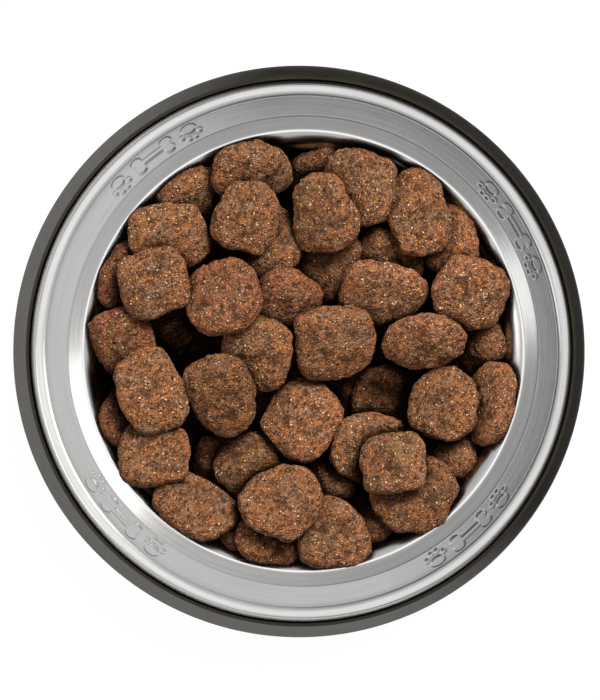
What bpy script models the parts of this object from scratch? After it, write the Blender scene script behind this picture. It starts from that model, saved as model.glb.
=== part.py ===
"""Stainless-steel pet food bowl on a rubber foot ring, filled with dry kibble.

Metres, +Z up. The origin is the centre of the bowl, on the surface that it stands on.
The bowl is one pressed sheet: a food well, a rolled rim, a shoulder that slopes outwards
and a skirt that ends in the groove of the rubber ring. The kibble lies in the well.
"""

import math
from typing import NamedTuple

import bmesh
import bpy
from mathutils import Matrix, Vector
from mathutils.bvhtree import BVHTree

MM = 0.001

# Steel bowl, in millimetres
RIM_HEIGHT = 42.0
MOUTH_RADIUS = 61.2
SHEET = 0.8
WELL_FLOOR_HEIGHT = 4.5
WELL_WALL_FLARE_DEG = 12.0
WELL_CORNER_RADIUS = 9.0
LIP_WIDTH = 3.7
LIP_SLOPE_DEG = 20.0
LIP_RADIUS = 5.0
RIM_BEND_RADIUS = 1.3
RIM_BAND_WIDTH = 4.1
RIM_BAND_SLOPE_DEG = 24.0
RIM_CREASE_RADIUS = 1.1
SHOULDER_WIDTH = 7.7
SHOULDER_SLOPE_DEG = 52.0
SHOULDER_FILLET_RADIUS = 3.6
STEP_WIDTH = 3.1
STEP_SLOPE_DEG = 8.0
STEP_CORNER_RADIUS = 1.4
SKIRT_FLARE_DEG = 3.0
SKIRT_EDGE_HEIGHT = 4.6

# Rubber foot ring, in millimetres
SEAT_GAP = 0.3
RING_HEIGHT = 21.0
RING_FACE_DEG = 77.0
RING_TOP_THICKNESS = 1.0
RING_INNER_LIP_HEIGHT = 9.5
RING_INNER_LIP_THICKNESS = 2.2
RING_EDGE_RADIUS = 0.8

# Kibble, in millimetres
KIBBLE_LENGTH = 23.4
KIBBLE_WIDTH = 20.4
KIBBLE_THICKNESS = 8.4
KIBBLE_GAP = 0.3
WALL_CLEARANCE = 1.2
SETTLING_LEAN_DEG = 20.0
SETTLING_SLIDE = 1.8

# Facets
TURN_STEPS = 48
ARC_STEP_DEG = 24.0
KIBBLE_STEPS = 12

# Colours
STEEL = (0.62, 0.62, 0.63)
RUBBER = (0.055, 0.052, 0.048)
KIBBLE_BROWN = (0.23, 0.115, 0.065)


class Form(NamedTuple):
    """How a kibble's outline departs from an ellipse."""

    squareness: float  # 2 is an ellipse, and more is squarer
    taper: float  # how much narrower the leading end is than the trailing one


SQUARE = Form(3.2, 0.04)
ROUND = Form(2.3, 0.03)
EGG = Form(2.5, 0.16)
WEDGE = Form(2.7, 0.30)


class Kibble(NamedTuple):
    """One piece of kibble, as it lies in the bowl.

    x and y are its place, as shares of the mouth's radius. length and width are shares of the
    usual ones. yaw turns its long axis from +X. It leans by lean degrees, so that its face
    looks towards the bearing toward.
    """

    x: float
    y: float
    length: float
    width: float
    yaw: float
    form: Form
    lean: float
    toward: float


# The pieces that show, in the order in which they were poured: each one lies on what came
# before it.
POURED = (
    # deep pieces, which show only through the gaps
    Kibble(0.39, 0.10, 0.86, 0.88, 20, SQUARE, 10, 100),
    Kibble(-0.15, -0.18, 0.84, 0.84, 5, ROUND, 12, -60),
    Kibble(0.15, -0.17, 0.84, 0.88, -30, SQUARE, 10, 220),
    Kibble(-0.66, 0.04, 0.84, 0.84, 20, ROUND, 14, -40),
    Kibble(-0.52, -0.34, 0.84, 0.84, 40, SQUARE, 10, 30),
    Kibble(-0.32, -0.80, 0.80, 0.80, 30, ROUND, 22, 60),
    Kibble(0.31, -0.79, 0.84, 0.84, -20, SQUARE, 20, 110),
    Kibble(0.72, 0.42, 0.84, 0.84, 30, ROUND, 20, 190),
    Kibble(0.09, 0.82, 0.84, 0.84, 30, SQUARE, 20, -80),
    # middle pieces, partly under others
    Kibble(-0.51, 0.72, 0.84, 0.80, 45, WEDGE, 30, -50),
    Kibble(-0.85, 0.355, 0.80, 0.80, 80, EGG, 35, -20),
    Kibble(-0.645, 0.145, 0.78, 0.78, 5, ROUND, 16, -60),
    Kibble(-0.845, -0.304, 0.88, 0.84, 60, WEDGE, 25, 10),
    Kibble(-0.435, -0.495, 0.84, 0.86, 92, SQUARE, 82, 0),
    Kibble(-0.27, -0.55, 0.88, 0.84, 50, EGG, 24, 160),
    Kibble(-0.18, -0.865, 0.86, 0.86, -10, ROUND, 18, 80),
    Kibble(0.13, -0.61, 0.84, 0.86, -35, ROUND, 20, 60),
    Kibble(0.345, -0.22, 0.88, 0.90, 80, SQUARE, 12, -90),
    Kibble(0.285, -0.475, 1.00, 0.92, -10, EGG, 26, -100),
    Kibble(0.69, -0.48, 0.82, 0.80, -70, SQUARE, 20, 150),
    Kibble(0.83, 0.06, 0.88, 0.84, 40, EGG, 28, 180),
    Kibble(0.87, -0.26, 1.04, 0.90, 82, ROUND, 80, 172),
    Kibble(0.68, 0.505, 0.84, 0.80, 105, EGG, 52, 180),
    Kibble(0.415, 0.44, 0.90, 0.90, -30, EGG, 14, -60),
    Kibble(0.13, 0.425, 1.02, 0.86, 52, EGG, 6, -30),
    Kibble(-0.155, 0.47, 1.00, 0.96, -50, SQUARE, 6, -20),
    Kibble(-0.11, 0.25, 0.90, 0.96, -20, EGG, 18, -115),
    Kibble(-0.187, 0.02, 0.90, 0.96, 80, SQUARE, 4, -20),
    Kibble(0.539, 0.656, 1.02, 0.82, 101, SQUARE, 16, 215),
    Kibble(-0.616, 0.53, 0.94, 0.94, 10, SQUARE, 10, -60),
    Kibble(0.525, -0.716, 1.04, 1.00, 25, ROUND, 12, 120),
    Kibble(-0.579, -0.87, 1.02, 0.92, -33, ROUND, 68, 57),
    Kibble(-0.875, 0.055, 0.94, 0.86, -66, SQUARE, 40, 190),
    # top pieces
    Kibble(-0.275, 0.859, 1.00, 0.94, -5, EGG, 24, -90),
    Kibble(0.267, 0.706, 0.96, 1.00, -12, SQUARE, 12, -100),
    Kibble(0.097, 0.639, 0.96, 0.93, 97, EGG, 8, 180),
    Kibble(-0.274, 0.598, 0.87, 0.88, 68, SQUARE, 8, -60),
    Kibble(0.365, 0.29, 1.04, 0.96, -6, EGG, 24, -90),
    Kibble(0.79, 0.314, 0.91, 0.98, -20, SQUARE, 10, 190),
    Kibble(0.573, 0.07, 1.02, 0.84, 16, ROUND, 26, -50),
    Kibble(0.662, -0.227, 0.90, 0.96, 70, EGG, 8, -100),
    Kibble(0.138, 0.064, 1.00, 1.03, 10, SQUARE, 6, -120),
    Kibble(-0.337, 0.215, 0.95, 1.04, 30, ROUND, 6, -40),
    Kibble(-0.675, 0.31, 0.84, 0.95, 15, SQUARE, 8, -40),
    Kibble(-0.342, -0.176, 1.00, 0.93, -70, EGG, 10, 0),
    Kibble(-0.713, -0.528, 0.82, 0.86, 0, SQUARE, 14, 60),
    Kibble(-0.67, -0.175, 1.00, 0.88, -65, SQUARE, 8, 30),
    Kibble(0.014, -0.33, 1.00, 1.00, 50, EGG, 8, -130),
    Kibble(0.135, -0.898, 0.84, 0.90, 100, WEDGE, 14, 100),
    Kibble(-0.1, -0.705, 1.00, 0.96, 45, EGG, 8, 70),
    Kibble(0.43, -0.531, 0.78, 0.91, 5, SQUARE, 8, 120),
)

# The hidden bottom layer: rings of kibble that overlap, so that they fuse into one bed. The
# pitch and the room to the edge of the well's floor are shares of the kibble's width.
BED_PITCH = 0.78
BED_EDGE = 0.75
BED_LEAN_DEG = 4.0
BED_TURN_DEG = 137.5


def polar(radius, degrees):
    """The point at this radius and bearing, as (x, y)."""
    return radius * math.cos(math.radians(degrees)), radius * math.sin(math.radians(degrees))


def rounded(corners):
    """A line through corners, each (x, y, radius), with an arc of that radius at each one.

    The arc touches both straight stretches, so it starts radius x tan(half the turn) before
    the corner.
    """
    points = [Vector(corners[0][:2])]
    for before, here, after in zip(corners, corners[1:], corners[2:]):
        corner, radius = Vector(here[:2]), here[2]
        into = (corner - Vector(before[:2])).normalized()
        out = (Vector(after[:2]) - corner).normalized()
        turn = math.atan2(into.x * out.y - into.y * out.x, into.dot(out))
        reach = radius * math.tan(abs(turn) / 2)
        start = corner - into * reach
        side = Vector((-into.y, into.x)) * math.copysign(radius, turn)
        centre = start + side
        steps = max(1, math.ceil(math.degrees(abs(turn)) / ARC_STEP_DEG)) if radius else 0
        for i in range(steps + 1):
            spin = Matrix.Rotation(turn * i / max(steps, 1), 2)
            points.append(centre + spin @ (start - centre))
    points.append(Vector(corners[-1][:2]))
    return points


def material(name, colour, roughness, metallic):
    """A Principled material of one colour."""
    made = bpy.data.materials.new(name)
    made.use_nodes = True
    made.diffuse_color = (*colour, 1.0)
    shader = made.node_tree.nodes["Principled BSDF"]
    shader.inputs["Base Color"].default_value = (*colour, 1.0)
    shader.inputs["Roughness"].default_value = roughness
    shader.inputs["Metallic"].default_value = metallic
    return made


def add_object(name, mesh, finish):
    """Links a new object that has this mesh and this material."""
    mesh.materials.append(finish)
    made = bpy.data.objects.new(name, mesh)
    bpy.context.scene.collection.objects.link(made)
    return made


def turned(name, outline, is_closed):
    """A mesh made by turning an outline of (radius, height) points in mm round the Z axis."""
    mesh = bpy.data.meshes.new(name)
    form = bmesh.new()
    line = [form.verts.new((point[0] * MM, 0.0, point[1] * MM)) for point in outline]
    pairs = list(zip(line, line[1:]))
    if is_closed:
        pairs.append((line[-1], line[0]))
    edges = [form.edges.new(pair) for pair in pairs]
    bmesh.ops.spin(
        form,
        geom=line + edges,
        cent=(0.0, 0.0, 0.0),
        axis=(0.0, 0.0, 1.0),
        angle=math.tau,
        steps=TURN_STEPS,
        use_merge=True,
    )
    bmesh.ops.remove_doubles(form, verts=form.verts, dist=1e-6)
    bmesh.ops.recalc_face_normals(form, faces=form.faces)
    form.to_mesh(mesh)
    form.free()
    mesh.shade_smooth()
    mesh.set_sharp_from_angle(angle=math.radians(35.0))
    return mesh


def slope(start, run, degrees):
    """The point that lies run outwards from start, down a slope of this many degrees."""
    return start[0] + run, start[1] - run * math.tan(math.radians(degrees))


def skirt_radius(height):
    """The radius of the skirt's outer face at this height."""
    top = step_corner()
    return top[0] + (top[1] - height) * math.tan(math.radians(SKIRT_FLARE_DEG))


def rim_crease():
    """Where the rim's band meets the shoulder, before its rounding."""
    return slope((MOUTH_RADIUS, RIM_HEIGHT), RIM_BAND_WIDTH, RIM_BAND_SLOPE_DEG)


def shoulder_foot():
    """Where the shoulder meets the step, before its fillet."""
    return slope(rim_crease(), SHOULDER_WIDTH, SHOULDER_SLOPE_DEG)


def step_corner():
    """Where the step meets the skirt, before its rounding."""
    return slope(shoulder_foot(), STEP_WIDTH, STEP_SLOPE_DEG)


def lip_foot():
    """Where the lip, which slopes in from the rim, meets the well's wall, before its rounding."""
    return slope((MOUTH_RADIUS, RIM_HEIGHT), -LIP_WIDTH, -LIP_SLOPE_DEG)


def well_floor_radius():
    """Where the well's wall would meet its floor, before the corner's rounding."""
    radius, height = lip_foot()
    return radius - (height - WELL_FLOOR_HEIGHT) * math.tan(math.radians(WELL_WALL_FLARE_DEG))


def make_bowl(finish):
    """The pressed bowl: its upper face turned from an outline, then given the sheet's thickness."""
    outline = rounded(
        [
            (0.0, WELL_FLOOR_HEIGHT, 0.0),
            (well_floor_radius(), WELL_FLOOR_HEIGHT, WELL_CORNER_RADIUS),
            (*lip_foot(), LIP_RADIUS),
            (MOUTH_RADIUS, RIM_HEIGHT, RIM_BEND_RADIUS),
            (*rim_crease(), RIM_CREASE_RADIUS),
            (*shoulder_foot(), SHOULDER_FILLET_RADIUS),
            (*step_corner(), STEP_CORNER_RADIUS),
            (skirt_radius(SKIRT_EDGE_HEIGHT), SKIRT_EDGE_HEIGHT, 0.0),
        ]
    )
    bowl = add_object("steel_bowl", turned("steel_bowl", outline, False), finish)
    wall = bowl.modifiers.new("sheet", "SOLIDIFY")
    wall.thickness = SHEET * MM
    wall.offset = -1.0
    wall.use_even_offset = True
    return bowl


def make_ring(finish):
    """The rubber ring: a groove takes the skirt's edge, between the outer wall and a low lip."""
    groove_out = SEAT_GAP
    groove_in = SHEET / math.cos(math.radians(SKIRT_FLARE_DEG)) + SEAT_GAP
    groove_floor = SKIRT_EDGE_HEIGHT - SEAT_GAP
    top_inside = skirt_radius(RING_HEIGHT) + groove_out
    top_outside = top_inside + RING_TOP_THICKNESS
    foot_radius = top_outside + RING_HEIGHT / math.tan(math.radians(RING_FACE_DEG))
    lip_outside = skirt_radius(RING_INNER_LIP_HEIGHT) - groove_in
    lip_inside = lip_outside - RING_INNER_LIP_THICKNESS
    loop = rounded(
        [
            (skirt_radius(groove_floor) + groove_out, groove_floor, 0.0),
            (top_inside, RING_HEIGHT, 0.0),
            (top_outside, RING_HEIGHT, RING_EDGE_RADIUS / 2),
            (foot_radius, 0.0, RING_EDGE_RADIUS),
            (lip_inside, 0.0, RING_EDGE_RADIUS),
            (lip_inside, RING_INNER_LIP_HEIGHT, RING_EDGE_RADIUS),
            (lip_outside, RING_INNER_LIP_HEIGHT, 0.0),
            (skirt_radius(groove_floor) - groove_in, groove_floor, 0.0),
        ]
    )
    return add_object("rubber_ring", turned("rubber_ring", loop, True), finish)


def kibble_form(length, width, form, steps):
    """A pillow of kibble at the origin, as (points, faces), in mm.

    Each ring is a superellipse, |x/a|^n + |y/b|^n = 1, whose width shrinks towards +X by the
    taper. The rings stand at set heights of a rounded section.
    """
    half = Vector((length / 2, width / 2, KIBBLE_THICKNESS / 2))
    rings = ((0.62, -0.86), (0.95, -0.44), (0.95, 0.44), (0.62, 0.86))
    points = [Vector((0.0, 0.0, -half.z))]
    for share, height in rings:
        for i in range(steps):
            angle = math.tau * (i + 0.5) / steps
            c, s = math.cos(angle), math.sin(angle)
            reach = (abs(c) ** form.squareness + abs(s) ** form.squareness) ** (-1 / form.squareness)
            x = share * reach * c
            y = share * reach * s * (1 - form.taper * x)
            points.append(Vector((x * half.x, y * half.y, height * half.z)))
    points.append(Vector((0.0, 0.0, half.z)))
    top = len(points) - 1
    faces = [(0, 1 + (i + 1) % steps, 1 + i) for i in range(steps)]
    for ring in range(len(rings) - 1):
        low, high = 1 + ring * steps, 1 + (ring + 1) * steps
        for i in range(steps):
            j = (i + 1) % steps
            faces.append((low + i, low + j, high + j, high + i))
    last = 1 + (len(rings) - 1) * steps
    faces += [(last + i, last + (i + 1) % steps, top) for i in range(steps)]
    return points, faces


def leaned(points, yaw, lean):
    """The points turned by yaw about Z, then leant by a vector in degrees.

    The vector's length is how far they lean, and it points to where their top then looks.
    """
    bearing = math.degrees(math.atan2(lean.y, lean.x))
    axis = Vector((*polar(1.0, bearing + 90.0), 0.0))
    tip = Matrix.Rotation(math.radians(lean.length), 3, axis)
    turn = Matrix.Rotation(math.radians(yaw), 3, "Z")
    return [tip @ turn @ point for point in points]


class Pile:
    """What a falling piece of kibble can come to rest on."""

    def __init__(self, bowl):
        """Starts with the empty bowl."""
        seen = bowl.evaluated_get(bpy.context.evaluated_depsgraph_get()).to_mesh()
        points = [vertex.co / MM for vertex in seen.vertices]
        faces = [tuple(face.vertices) for face in seen.polygons]
        self.bowl = BVHTree.FromPolygons(points, faces)
        self.pieces = []

    def add(self, points, faces):
        """Puts a piece that has come to rest on the pile."""
        low, high = corners_of(points)
        self.pieces.append((low, high, BVHTree.FromPolygons(points, faces)))

    def touches(self, points, faces):
        """Whether a piece at these points meets anything in the pile."""
        low, high = corners_of(points)
        tree = BVHTree.FromPolygons(points, faces)
        for other_low, other_high, other in self.pieces:
            apart = any(low[i] > other_high[i] or high[i] < other_low[i] for i in range(3))
            if not apart and tree.overlap(other):
                return True
        return bool(tree.overlap(self.bowl))

    def landed(self, points, faces):
        """How high above its start the piece comes to rest when it is let down on the pile.

        The piece is grown by its gap, comes down in steps until it meets the pile, and then
        the last step is halved until the height is right to a hundredth of a millimetre.
        """
        centre = sum(points, Vector()) / len(points)
        grown = [p + (p - centre).normalized() * KIBBLE_GAP for p in points]

        def blocked(height):
            return self.touches([p + Vector((0.0, 0.0, height)) for p in grown], faces)

        step = KIBBLE_THICKNESS / 5
        free = RIM_HEIGHT + KIBBLE_LENGTH
        while not blocked(free - step):
            free -= step
        while step > 0.01:
            step /= 2
            if not blocked(free - step):
                free -= step
        return free

    def settled(self, piece, shape, faces):
        """How a poured piece comes to rest: its points, and the point about which they stand.

        From where it was let go it tips and slides by ever smaller amounts, each time that
        this takes it lower, until nothing does. It strays no further than the limits of
        SETTLING, and it starts clear of the rim.
        """

        def rest(state):
            points = leaned(shape, piece.yaw, Vector(state[:2]))
            spot = Vector((*state[2:], 0.0))
            spot = within_mouth(points, spot)
            spot.z = self.landed([p + spot for p in points], faces)
            return spot.z, points, spot

        start = [*polar(piece.lean, piece.toward), piece.x * MOUTH_RADIUS, piece.y * MOUTH_RADIUS]
        state, best = list(start), rest(start)
        limits = (SETTLING_LEAN_DEG, SETTLING_LEAN_DEG, SETTLING_SLIDE, SETTLING_SLIDE)
        for share in (0.5, 0.25, 0.125):
            moved = True
            while moved:
                moved = False
                for axis, limit in enumerate(limits):
                    for way in (-1, 1):
                        tried = list(state)
                        tried[axis] += way * share * limit
                        if abs(tried[axis] - start[axis]) > limit:
                            continue
                        found = rest(tried)
                        if found[0] < best[0] - 0.05:
                            state, best, moved = tried, found, True
        return best[1], best[2]


def within_mouth(points, spot):
    """The spot, moved towards the middle until the points that stand round it clear the wall."""
    room = MOUTH_RADIUS - WALL_CLEARANCE
    for _ in range(3):
        flat = [(p + spot).to_2d() for p in points]
        far = max(flat, key=lambda p: p.length)
        if far.length > room:
            shift = far.normalized() * (far.length - room)
            spot = spot - Vector((shift.x, shift.y, 0.0))
    return spot


def corners_of(points):
    """The lowest and the highest corner of the box round these points."""
    axes = list(zip(*points))
    return [min(axis) for axis in axes], [max(axis) for axis in axes]


def mesh_of(name, points, faces):
    """A smooth mesh of these points, given in mm."""
    mesh = bpy.data.meshes.new(name)
    mesh.from_pydata([point * MM for point in points], [], faces)
    mesh.shade_smooth()
    return mesh


def bed_places():
    """Where the bed's pieces lie: one in the middle, and rings of them round it."""
    reach = well_floor_radius() - KIBBLE_WIDTH * BED_EDGE
    pitch = KIBBLE_WIDTH * BED_PITCH
    rings = math.ceil(reach / pitch)
    places = [Vector((0.0, 0.0, 0.0))]
    for ring in range(1, rings + 1):
        radius = reach * ring / rings
        count = math.ceil(math.tau * radius / pitch)
        places += [Vector((*polar(radius, 360.0 * i / count), 0.0)) for i in range(count)]
    return places


def make_bed(pile, finish):
    """The hidden bottom layer, with its pieces fused by a Boolean union."""
    hidden = bpy.data.collections.new("bed_pieces")
    shapes = []
    for number, place in enumerate(bed_places()):
        form = (SQUARE, ROUND, EGG)[number % 3]
        points, faces = kibble_form(KIBBLE_LENGTH, KIBBLE_WIDTH, form, KIBBLE_STEPS - 2)
        lean = Vector(polar(BED_LEAN_DEG, 2 * number * BED_TURN_DEG))
        points = [p + place for p in leaned(points, number * BED_TURN_DEG, lean)]
        rise = Vector((0.0, 0.0, pile.landed(points, faces)))
        shapes.append(([p + rise for p in points], faces))
    bed = add_object("kibble_bed", mesh_of("kibble_bed", *shapes[0]), finish)
    for number, shape in enumerate(shapes[1:]):
        guide = bpy.data.objects.new(f"bed_guide_{number}", mesh_of("bed_guide", *shape))
        guide.hide_render = True
        guide.display_type = "WIRE"
        hidden.objects.link(guide)
    bpy.context.scene.collection.children.link(hidden)
    join = bed.modifiers.new("fused", "BOOLEAN")
    join.operation = "UNION"
    join.operand_type = "COLLECTION"
    join.collection = hidden
    for points, faces in shapes:
        pile.add(points, faces)
    return bed


def make_kibble(pile, finish):
    """Lets each piece of kibble down on the pile, and keeps it where it lands."""
    for number, piece in enumerate(POURED, 1):
        points, faces = kibble_form(
            KIBBLE_LENGTH * piece.length, KIBBLE_WIDTH * piece.width, piece.form, KIBBLE_STEPS
        )
        shape, place = pile.settled(piece, points, faces)
        made = add_object(f"kibble_{number:02d}", mesh_of("kibble", shape, faces), finish)
        made.location = place * MM
        pile.add([p + place for p in shape], faces)


def main():
    """Clears the scene and builds the bowl, its ring and the kibble."""
    for old in list(bpy.data.objects):
        bpy.data.objects.remove(old)
    bowl = make_bowl(material("steel", STEEL, 0.28, 1.0))
    make_ring(material("rubber", RUBBER, 0.75, 0.0))
    kibble_finish = material("kibble", KIBBLE_BROWN, 0.85, 0.0)
    bpy.context.view_layer.update()
    pile = Pile(bowl)
    make_bed(pile, kibble_finish)
    make_kibble(pile, kibble_finish)


main()
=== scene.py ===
"""A pressed steel pet bowl on a rubber foot ring, heaped with dry kibble, seen from above.

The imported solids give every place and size. Here the sheet gets its fine turned surface and its
embossed bones and paws, the rubber its moulded edges, and each kibble its crumbly skin.
"""

import itertools
import logging
import math
from collections.abc import Callable
from dataclasses import dataclass, field
from enum import Enum

import bmesh
import bpy
import numpy as np
from mathutils import Matrix, Vector

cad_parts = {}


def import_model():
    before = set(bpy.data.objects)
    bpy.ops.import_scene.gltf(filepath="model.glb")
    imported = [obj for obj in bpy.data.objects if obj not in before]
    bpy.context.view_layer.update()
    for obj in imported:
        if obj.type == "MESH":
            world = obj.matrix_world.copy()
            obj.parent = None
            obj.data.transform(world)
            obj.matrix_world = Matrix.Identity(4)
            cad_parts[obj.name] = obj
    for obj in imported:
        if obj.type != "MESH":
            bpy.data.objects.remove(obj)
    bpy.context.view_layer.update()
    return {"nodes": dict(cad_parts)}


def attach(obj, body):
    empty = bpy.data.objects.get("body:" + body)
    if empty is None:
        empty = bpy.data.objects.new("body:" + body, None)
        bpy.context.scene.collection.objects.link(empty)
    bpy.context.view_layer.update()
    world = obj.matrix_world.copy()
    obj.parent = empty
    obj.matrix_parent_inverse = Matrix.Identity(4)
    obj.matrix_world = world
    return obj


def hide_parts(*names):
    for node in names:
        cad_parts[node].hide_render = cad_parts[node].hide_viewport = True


LOG = logging.getLogger("pet_bowl")
MM = 0.001
# Large odd numbers that mix the bits of a lattice place.
PRIMES = np.array((374761393, 668265263, 2246822519, 3266489917), np.uint32)


# ---- shader sheets ----


def _operator(operation: str, is_swapped: bool = False) -> Callable[["Wire", object], "Wire"]:
    """A Wire's method for a Math node's operation, with the wire second if it is swapped."""

    def method(wire: "Wire", other: object) -> "Wire":
        pair = (other, wire) if is_swapped else (wire, other)
        return wire.sheet.node("Math", dict(enumerate(pair)), operation=operation)

    return method


class Wire:
    """A shader socket that maths can be written on."""

    __add__ = _operator("ADD")
    __sub__ = _operator("SUBTRACT")
    __rsub__ = _operator("SUBTRACT", is_swapped=True)
    __mul__ = _operator("MULTIPLY")
    __truediv__ = _operator("DIVIDE")
    __pow__ = _operator("POWER")

    def __init__(self, sheet: "Sheet", socket: bpy.types.NodeSocket) -> None:
        """Keeps the socket and the sheet that its node is on."""
        self.sheet = sheet
        self.socket = socket

    def beside(self, name: str) -> "Wire":
        """Another output of the same node."""
        return Wire(self.sheet, self.socket.node.outputs[name])

    def step(self, low: float, high: float) -> "Wire":
        """Runs smoothly from 0 at low to 1 at high, which may be the lower of the two."""
        sockets = {"Value": self, "From Min": low, "From Max": high}
        return self.sheet.node("MapRange", sockets, interpolation_type="SMOOTHSTEP")


class Sheet:
    """One material's node tree."""

    def __init__(self, name: str) -> None:
        """Makes the material and clears its tree."""
        self.material = bpy.data.materials.new(name)
        self.material.use_nodes = True
        self.tree = self.material.node_tree
        self.tree.nodes.clear()

    @classmethod
    def of_world(cls, world: bpy.types.World) -> "Sheet":
        """The sheet of a world's tree, cleared."""
        sheet = cls.__new__(cls)
        sheet.material, sheet.tree = None, world.node_tree
        sheet.tree.nodes.clear()
        return sheet

    def node(
        self,
        kind: str,
        inputs: dict[str | int, object] | None = None,
        output: str | int = 0,
        **settings: object,
    ) -> Wire:
        """Adds a node, sets it and wires it.

        Args:
            kind: The node's type, without ShaderNode in front.
            inputs: Numbers, linear colours or wires for its sockets.
            output: Which of its outputs is wanted.
            settings: Its properties.

        Returns:
            That output.
        """
        made = self.tree.nodes.new(f"ShaderNode{kind}")
        for name, value in settings.items():
            setattr(made, name, value)
        for name, value in (inputs or {}).items():
            socket = made.inputs[name]
            if isinstance(value, Wire):
                self.tree.links.new(value.socket, socket)
            else:
                socket.default_value = (*value, 1.0) if socket.type == "RGBA" else value
        return Wire(self, made.outputs[output])

    def place(self) -> Wire:
        """The shaded point, in the object's own metres."""
        return self.node("TexCoord", output="Object")

    def split(self, kind: str, whole: Wire) -> list[Wire]:
        """The three numbers of a vector or colour, by the kind of Separate node for it."""
        return [self.node(kind, {0: whole}, part) for part in range(3)]

    def noise(self, point: Wire, scale: float, detail: float, rough: float = 0.5) -> Wire:
        """Fractal noise, about 0 to 1, with features of 1 / scale."""
        sockets = {"Vector": point, "Scale": scale, "Detail": detail, "Roughness": rough}
        return self.node("TexNoise", sockets)

    def blend(self, share: object, first: object, second: object) -> Wire:
        """Mixes a share of the second colour in, by the sockets 6 and 7 and the output 2."""
        sockets = {0: share, 6: first, 7: second}
        return self.node("Mix", sockets, 2, data_type="RGBA", clamp_factor=True)

    def bump(self, height: Wire, strength: float, distance: float) -> Wire:
        """The normal tilted by a height, whose unit is distance in metres."""
        sockets = {"Strength": strength, "Distance": distance, "Height": height}
        return self.node("Bump", sockets)

    def principled(self, sockets: dict[str, object]) -> bpy.types.Material:
        """Finishes the sheet with a Principled shader that has these sockets set."""
        return self.finish(self.node("BsdfPrincipled", sockets))

    def finish(self, shader: Wire) -> bpy.types.Material:
        """Sends the shader to the output and gives the material."""
        end = self.tree.nodes.new("ShaderNodeOutputMaterial")
        self.tree.links.new(shader.socket, end.inputs["Surface"])
        return self.material


def weighed(wires: tuple[Wire, ...], shares: tuple[float, ...]) -> Wire:
    """The sum of wires, each times its share."""
    total = wires[0] * shares[0]
    for wire, share in zip(wires[1:], shares[1:]):
        total = total + wire * share
    return total


# ---- finishes ----


@dataclass(frozen=True)
class SpunSteel:
    """Satin stainless steel, with a grain that runs round the bowl."""

    pale: tuple[float, float, float] = (0.51, 0.508, 0.505)
    dull: tuple[float, float, float] = (0.43, 0.424, 0.415)
    roughness: float = 0.23
    grain_mm: float = 0.16
    grain_turn: float = 5.0
    band_mm: float = 1.4
    band_turn: float = 2.2
    smear_scale: float = 60.0
    tone_shares: tuple[float, ...] = (0.35, 0.40, 0.25)
    rough_shares: tuple[float, ...] = (0.12, 0.10, 0.06)
    relief_shares: tuple[float, ...] = (0.8, 0.5)
    bump_strength: float = 0.35
    bump_distance: float = 0.00004

    def build(self) -> bpy.types.Material:
        """Makes the material.

        The grain is noise on (cos a, sin a, s): a is the bearing round the bowl and s is
        radius less height, which grows along the turned section, so the noise is drawn out
        into rings and has no seam. Tone, roughness and relief are each a sum of the fine
        rings, the broad rings and a plain smear, by their shares.

        Returns:
            The material.
        """
        sheet = Sheet("spun_steel")
        place = sheet.place()
        axes = sheet.split("SeparateXYZ", place)
        radius = (axes[0] * axes[0] + axes[1] * axes[1] + 1e-9) ** 0.5
        along = (radius - axes[2]) / MM

        def rings(size: float, turn: float, detail: float) -> Wire:
            parts = {0: axes[0] / radius * turn, 1: axes[1] / radius * turn, 2: along / size}
            vector = sheet.node("CombineXYZ", parts)
            return sheet.noise(vector, 1.0, detail, 0.6)

        fine = rings(self.grain_mm, self.grain_turn, 3.0)
        broad = rings(self.band_mm, self.band_turn, 2.0)
        layers = (fine, broad, sheet.noise(place, self.smear_scale, 3.0))
        tone = weighed(layers, self.tone_shares).step(0.32, 0.68)
        smooth = self.roughness - sum(self.rough_shares) / 2
        relief = weighed(layers[:2], self.relief_shares)
        return sheet.principled(
            {
                "Base Color": sheet.blend(tone, self.dull, self.pale),
                "Metallic": 1.0,
                "Roughness": weighed(layers, self.rough_shares) + smooth,
                "Normal": sheet.bump(relief, self.bump_strength, self.bump_distance),
            }
        )


@dataclass(frozen=True)
class MouldedRubber:
    """Matte black rubber with a fine moulded grain."""

    dark: tuple[float, float, float] = (0.0050, 0.0043, 0.0030)
    pale: tuple[float, float, float] = (0.0200, 0.0170, 0.0115)
    roughness: float = 0.54
    gloss: float = 0.46
    sheen: tuple[float, float, float] = (1.0, 0.90, 0.70)
    grain_scale: float = 1700.0
    cloud_scale: float = 90.0
    tone_shares: tuple[float, ...] = (0.6, 0.4)
    rough_shares: tuple[float, ...] = (0.40, 0.10)
    bump_strength: float = 0.9
    bump_distance: float = 0.00035

    def build(self) -> bpy.types.Material:
        """Makes the material: two noises for tone, and a fine one for the grain's bump."""
        sheet = Sheet("moulded_rubber")
        place = sheet.place()
        grain = sheet.noise(place, self.grain_scale, 3.0, 0.7)
        layers = (grain, sheet.noise(place, self.cloud_scale, 3.0))
        tone = weighed(layers, self.tone_shares).step(0.3, 0.7)
        smooth = self.roughness - sum(self.rough_shares) / 2
        return sheet.principled(
            {
                "Base Color": sheet.blend(tone, self.dark, self.pale),
                "Roughness": weighed(layers, self.rough_shares) + smooth,
                "Specular IOR Level": self.gloss,
                "Specular Tint": self.sheen,
                "Normal": sheet.bump(grain, self.bump_strength, self.bump_distance),
            }
        )


@dataclass(frozen=True)
class Grain:
    """Voronoi cells of one kind: those whose random draw is high, as far out as they spread."""

    channel: int
    drawn: tuple[float, float]
    spread: tuple[float, float]
    share: float

    def mask(self, distance: Wire, draws: list[Wire]) -> Wire:
        """1 where the grain is, from the distance to the cells' middles and their draws."""
        return draws[self.channel].step(*self.drawn) * distance.step(*self.spread)


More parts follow.
